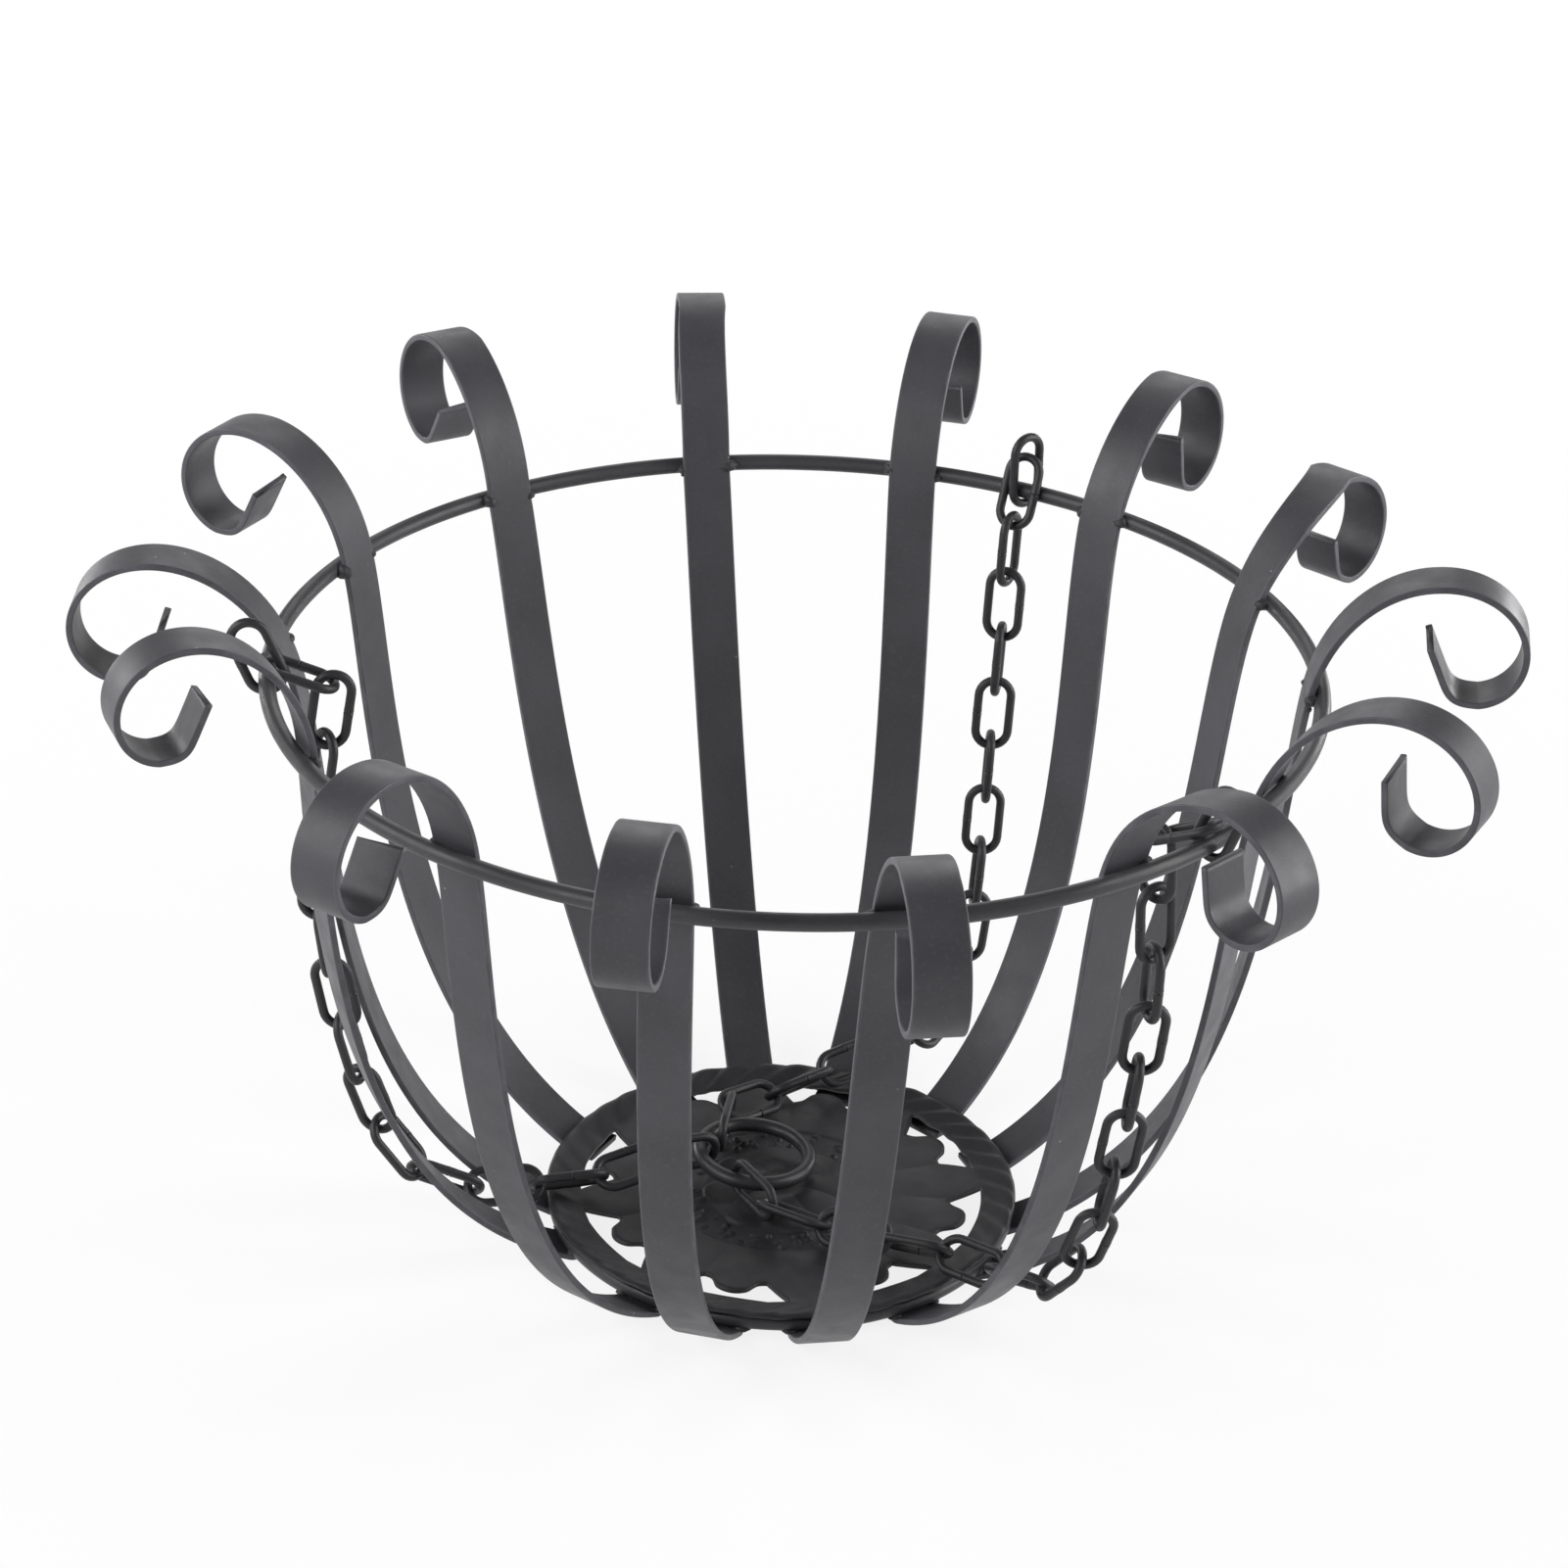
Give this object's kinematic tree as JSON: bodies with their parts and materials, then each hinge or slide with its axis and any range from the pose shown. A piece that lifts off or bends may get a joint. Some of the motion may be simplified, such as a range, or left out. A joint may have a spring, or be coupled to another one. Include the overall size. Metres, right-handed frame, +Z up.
{
  "type": "hanging flower basket",
  "caption": "Round hanging basket of black scrolled flat straps on a rim wire, with a pressed rosette base, three link chains laid down inside it and a hanging ring.",
  "frame": {"origin": "on the floor under the middle of the base", "axes": "+Z up, the basket's front towards -Y, its right towards +X"},
  "size_m": [0.4212, 0.4221, 0.2287],
  "materials": {
    "strap": "satin black paint on flat steel",
    "wire": "satin black paint on round bar",
    "plate": "satin black paint on pressed sheet",
    "chain": "satin black paint on steel chain",
    "ring": "satin black paint on round bar"
  },
  "bodies": {
    "basket": {"base_hoop": "wire", "left_chain_end_link": "chain", "left_chain_link_02": "chain", "left_chain_lying_links": "chain", "rear_chain_end_link": "chain", "rear_chain_link_02": "chain", "rear_chain_lying_links": "chain", "right_chain_end_link": "chain", "right_chain_link_02": "chain", "right_chain_lying_links": "chain", "rim_wire": "wire", "rosette_plate": "plate", "strap_01": "strap", "strap_02": "strap", "strap_03": "strap", "strap_04": "strap", "strap_05": "strap", "strap_06": "strap", "strap_07": "strap", "strap_08": "strap", "strap_09": "strap", "strap_10": "strap", "strap_11": "strap", "strap_12": "strap", "strap_13": "strap", "strap_14": "strap"},
    "rear_rim_link": {"rear_chain_link_01": "chain"},
    "rear_chain_swing": {"rear_chain_link_03": "chain", "rear_chain_link_11": "chain", "rear_chain_link_12": "chain"},
    "rear_link_07": {"rear_chain_link_07": "chain"},
    "rear_link_04": {"rear_chain_link_04": "chain"},
    "rear_link_05": {"rear_chain_link_05": "chain"},
    "rear_link_06": {"rear_chain_link_06": "chain"},
    "rear_link_08": {"rear_chain_link_08": "chain"},
    "rear_link_09": {"rear_chain_link_09": "chain"},
    "rear_link_10": {"rear_chain_link_10": "chain"},
    "right_rim_link": {"right_chain_link_01": "chain"},
    "right_chain_swing": {"right_chain_link_03": "chain", "right_chain_link_11": "chain", "right_chain_link_12": "chain"},
    "right_link_07": {"right_chain_link_07": "chain"},
    "right_link_04": {"right_chain_link_04": "chain"},
    "right_link_05": {"right_chain_link_05": "chain"},
    "right_link_06": {"right_chain_link_06": "chain"},
    "right_link_08": {"right_chain_link_08": "chain"},
    "right_link_09": {"right_chain_link_09": "chain"},
    "right_link_10": {"right_chain_link_10": "chain"},
    "left_rim_link": {"left_chain_link_01": "chain"},
    "left_chain_swing": {"left_chain_link_03": "chain", "left_chain_link_11": "chain", "left_chain_link_12": "chain"},
    "left_link_07": {"left_chain_link_07": "chain"},
    "left_link_04": {"left_chain_link_04": "chain"},
    "left_link_05": {"left_chain_link_05": "chain"},
    "left_link_06": {"left_chain_link_06": "chain"},
    "left_link_08": {"left_chain_link_08": "chain"},
    "left_link_09": {"left_chain_link_09": "chain"},
    "left_link_10": {"left_chain_link_10": "chain"},
    "ring": {"hanging_ring": "ring"}
  },
  "joints": [
    {"name": "rear_rim_link_rock", "type": "hinge", "parent": "basket", "child": "rear_rim_link", "pos_m": [0.07159, 0.13465, 0.186], "axis": [0.8829, -0.4695, 0], "range_deg": [-8, 6]},
    {"name": "rear_chain_sway", "type": "hinge", "parent": "basket", "child": "rear_chain_swing", "pos_m": [0.06741, 0.12679, 0.17867], "axis": [-0.1401, -0.2595, -0.9555], "range_deg": [-3, 18]},
    {"name": "rear_link_07_twist", "type": "hinge", "parent": "rear_chain_swing", "child": "rear_link_07", "pos_m": [0.06387, 0.12013, 0.10426], "axis": [-0.0426, -0.0801, -0.9959], "range_deg": [-45, 45]},
    {"name": "rear_link_04_twist", "type": "hinge", "parent": "rear_chain_swing", "child": "rear_link_04", "pos_m": [0.06655, 0.12517, 0.16006], "axis": [-0.0464, -0.0872, -0.9951], "range_deg": [-11.25, 11.25]},
    {"name": "rear_link_05_twist", "type": "hinge", "parent": "rear_chain_swing", "child": "rear_link_05", "pos_m": [0.06568, 0.12353, 0.14146], "axis": [-0.0478, -0.0899, -0.9948], "range_deg": [-22.5, 22.5]},
    {"name": "rear_link_06_twist", "type": "hinge", "parent": "rear_chain_swing", "child": "rear_link_06", "pos_m": [0.06479, 0.12185, 0.12285], "axis": [-0.049, -0.0922, -0.9945], "range_deg": [-33.75, 33.75]},
    {"name": "rear_link_08_twist", "type": "hinge", "parent": "rear_chain_swing", "child": "rear_link_08", "pos_m": [0.06308, 0.11863, 0.08563], "axis": [-0.048, -0.0903, -0.9948], "range_deg": [-33.75, 33.75]},
    {"name": "rear_link_09_twist", "type": "hinge", "parent": "rear_chain_swing", "child": "rear_link_09", "pos_m": [0.06218, 0.11694, 0.06703], "axis": [-0.0713, -0.1341, -0.9884], "range_deg": [-22.5, 22.5]},
    {"name": "rear_link_10_twist", "type": "hinge", "parent": "rear_chain_swing", "child": "rear_link_10", "pos_m": [0.06085, 0.11443, 0.04855], "axis": [-0.1293, -0.2432, -0.9613], "range_deg": [-11.25, 11.25]},
    {"name": "right_rim_link_rock", "type": "hinge", "parent": "basket", "child": "right_rim_link", "pos_m": [0.11333, -0.10204, 0.186], "axis": [-0.6691, -0.7431, 0], "range_deg": [-14, 14]},
    {"name": "right_chain_sway", "type": "hinge", "parent": "basket", "child": "right_chain_swing", "pos_m": [0.09967, -0.08975, 0.1827], "axis": [-0.2035, 0.1851, -0.9614], "range_deg": [-18, 18]},
    {"name": "right_link_07_twist", "type": "hinge", "parent": "right_chain_swing", "child": "right_link_07", "pos_m": [0.09931, -0.08942, 0.10811], "axis": [-0.11, 0.099, -0.989], "range_deg": [-45, 45]},
    {"name": "right_link_04_twist", "type": "hinge", "parent": "right_chain_swing", "child": "right_link_04", "pos_m": [0.10061, -0.09059, 0.16404], "axis": [0.0402, -0.0362, -0.9985], "range_deg": [-11.25, 11.25]},
    {"name": "right_link_05_twist", "type": "hinge", "parent": "right_chain_swing", "child": "right_link_05", "pos_m": [0.10136, -0.09127, 0.14537], "axis": [-0.0204, 0.0184, -0.9996], "range_deg": [-22.5, 22.5]},
    {"name": "right_link_06_twist", "type": "hinge", "parent": "right_chain_swing", "child": "right_link_06", "pos_m": [0.10098, -0.09092, 0.12668], "axis": [-0.0893, 0.0804, -0.9928], "range_deg": [-33.75, 33.75]},
    {"name": "right_link_08_twist", "type": "hinge", "parent": "right_chain_swing", "child": "right_link_08", "pos_m": [0.09725, -0.08757, 0.08962], "axis": [-0.1252, 0.1127, -0.9857], "range_deg": [-33.75, 33.75]},
    {"name": "right_link_09_twist", "type": "hinge", "parent": "right_chain_swing", "child": "right_link_09", "pos_m": [0.09491, -0.08546, 0.07118], "axis": [-0.1699, 0.153, -0.9735], "range_deg": [-22.5, 22.5]},
    {"name": "right_link_10_twist", "type": "hinge", "parent": "right_chain_swing", "child": "right_link_10", "pos_m": [0.09174, -0.0826, 0.05298], "axis": [-0.2533, 0.228, -0.9401], "range_deg": [-11.25, 11.25]},
    {"name": "left_rim_link_rock", "type": "hinge", "parent": "basket", "child": "left_rim_link", "pos_m": [-0.15166, -0.01594, 0.186], "axis": [-0.1045, 0.9945, 0], "range_deg": [-14, 14]},
    {"name": "left_chain_sway", "type": "hinge", "parent": "basket", "child": "left_chain_swing", "pos_m": [-0.1324, -0.01392, 0.18441], "axis": [0.2225, -0.0151, -0.9748], "range_deg": [-18, 5]},
    {"name": "left_link_07_twist", "type": "hinge", "parent": "left_chain_swing", "child": "left_link_07", "pos_m": [-0.1383, -0.01689, 0.11014], "axis": [0.1246, -0.0079, -0.9922], "range_deg": [-45, 45]},
    {"name": "left_link_04_twist", "type": "hinge", "parent": "left_chain_swing", "child": "left_link_04", "pos_m": [-0.13518, -0.015, 0.16595], "axis": [-0.1392, -0.0551, -0.9887], "range_deg": [-11.25, 11.25]},
    {"name": "left_link_05_twist", "type": "hinge", "parent": "left_chain_swing", "child": "left_link_05", "pos_m": [-0.13778, -0.01602, 0.14746], "axis": [-0.0698, -0.0347, -0.997], "range_deg": [-22.5, 22.5]},
    {"name": "left_link_06_twist", "type": "hinge", "parent": "left_chain_swing", "child": "left_link_06", "pos_m": [-0.13908, -0.01667, 0.12882], "axis": [0.0417, -0.0114, -0.9991], "range_deg": [-33.75, 33.75]},
    {"name": "left_link_08_twist", "type": "hinge", "parent": "left_chain_swing", "child": "left_link_08", "pos_m": [-0.13597, -0.01703, 0.09158], "axis": [0.1865, -0.0147, -0.9823], "range_deg": [-33.75, 33.75]},
    {"name": "left_link_09_twist", "type": "hinge", "parent": "left_chain_swing", "child": "left_link_09", "pos_m": [-0.13249, -0.01731, 0.07321], "axis": [0.2498, -0.0159, -0.9682], "range_deg": [-22.5, 22.5]},
    {"name": "left_link_10_twist", "type": "hinge", "parent": "left_chain_swing", "child": "left_link_10", "pos_m": [-0.12782, -0.01761, 0.05511], "axis": [0.3242, -0.0122, -0.9459], "range_deg": [-11.25, 11.25]},
    {"name": "ring_turn", "type": "hinge", "parent": "basket", "child": "ring", "pos_m": [-0.00856, 0.00747, 0.01475], "axis": [0.0872, 0, 0.9962], "continuous": true}
  ],
  "couplings": [
    {"joint": "rear_link_04_twist", "follows": "rear_link_07_twist", "ratio": 0.25},
    {"joint": "rear_link_05_twist", "follows": "rear_link_07_twist", "ratio": 0.5},
    {"joint": "rear_link_06_twist", "follows": "rear_link_07_twist", "ratio": 0.75},
    {"joint": "rear_link_08_twist", "follows": "rear_link_07_twist", "ratio": 0.75},
    {"joint": "rear_link_09_twist", "follows": "rear_link_07_twist", "ratio": 0.5},
    {"joint": "rear_link_10_twist", "follows": "rear_link_07_twist", "ratio": 0.25},
    {"joint": "right_link_04_twist", "follows": "right_link_07_twist", "ratio": 0.25},
    {"joint": "right_link_05_twist", "follows": "right_link_07_twist", "ratio": 0.5},
    {"joint": "right_link_06_twist", "follows": "right_link_07_twist", "ratio": 0.75},
    {"joint": "right_link_08_twist", "follows": "right_link_07_twist", "ratio": 0.75},
    {"joint": "right_link_09_twist", "follows": "right_link_07_twist", "ratio": 0.5},
    {"joint": "right_link_10_twist", "follows": "right_link_07_twist", "ratio": 0.25},
    {"joint": "left_link_04_twist", "follows": "left_link_07_twist", "ratio": 0.25},
    {"joint": "left_link_05_twist", "follows": "left_link_07_twist", "ratio": 0.5},
    {"joint": "left_link_06_twist", "follows": "left_link_07_twist", "ratio": 0.75},
    {"joint": "left_link_08_twist", "follows": "left_link_07_twist", "ratio": 0.75},
    {"joint": "left_link_09_twist", "follows": "left_link_07_twist", "ratio": 0.5},
    {"joint": "left_link_10_twist", "follows": "left_link_07_twist", "ratio": 0.25}
  ]
}
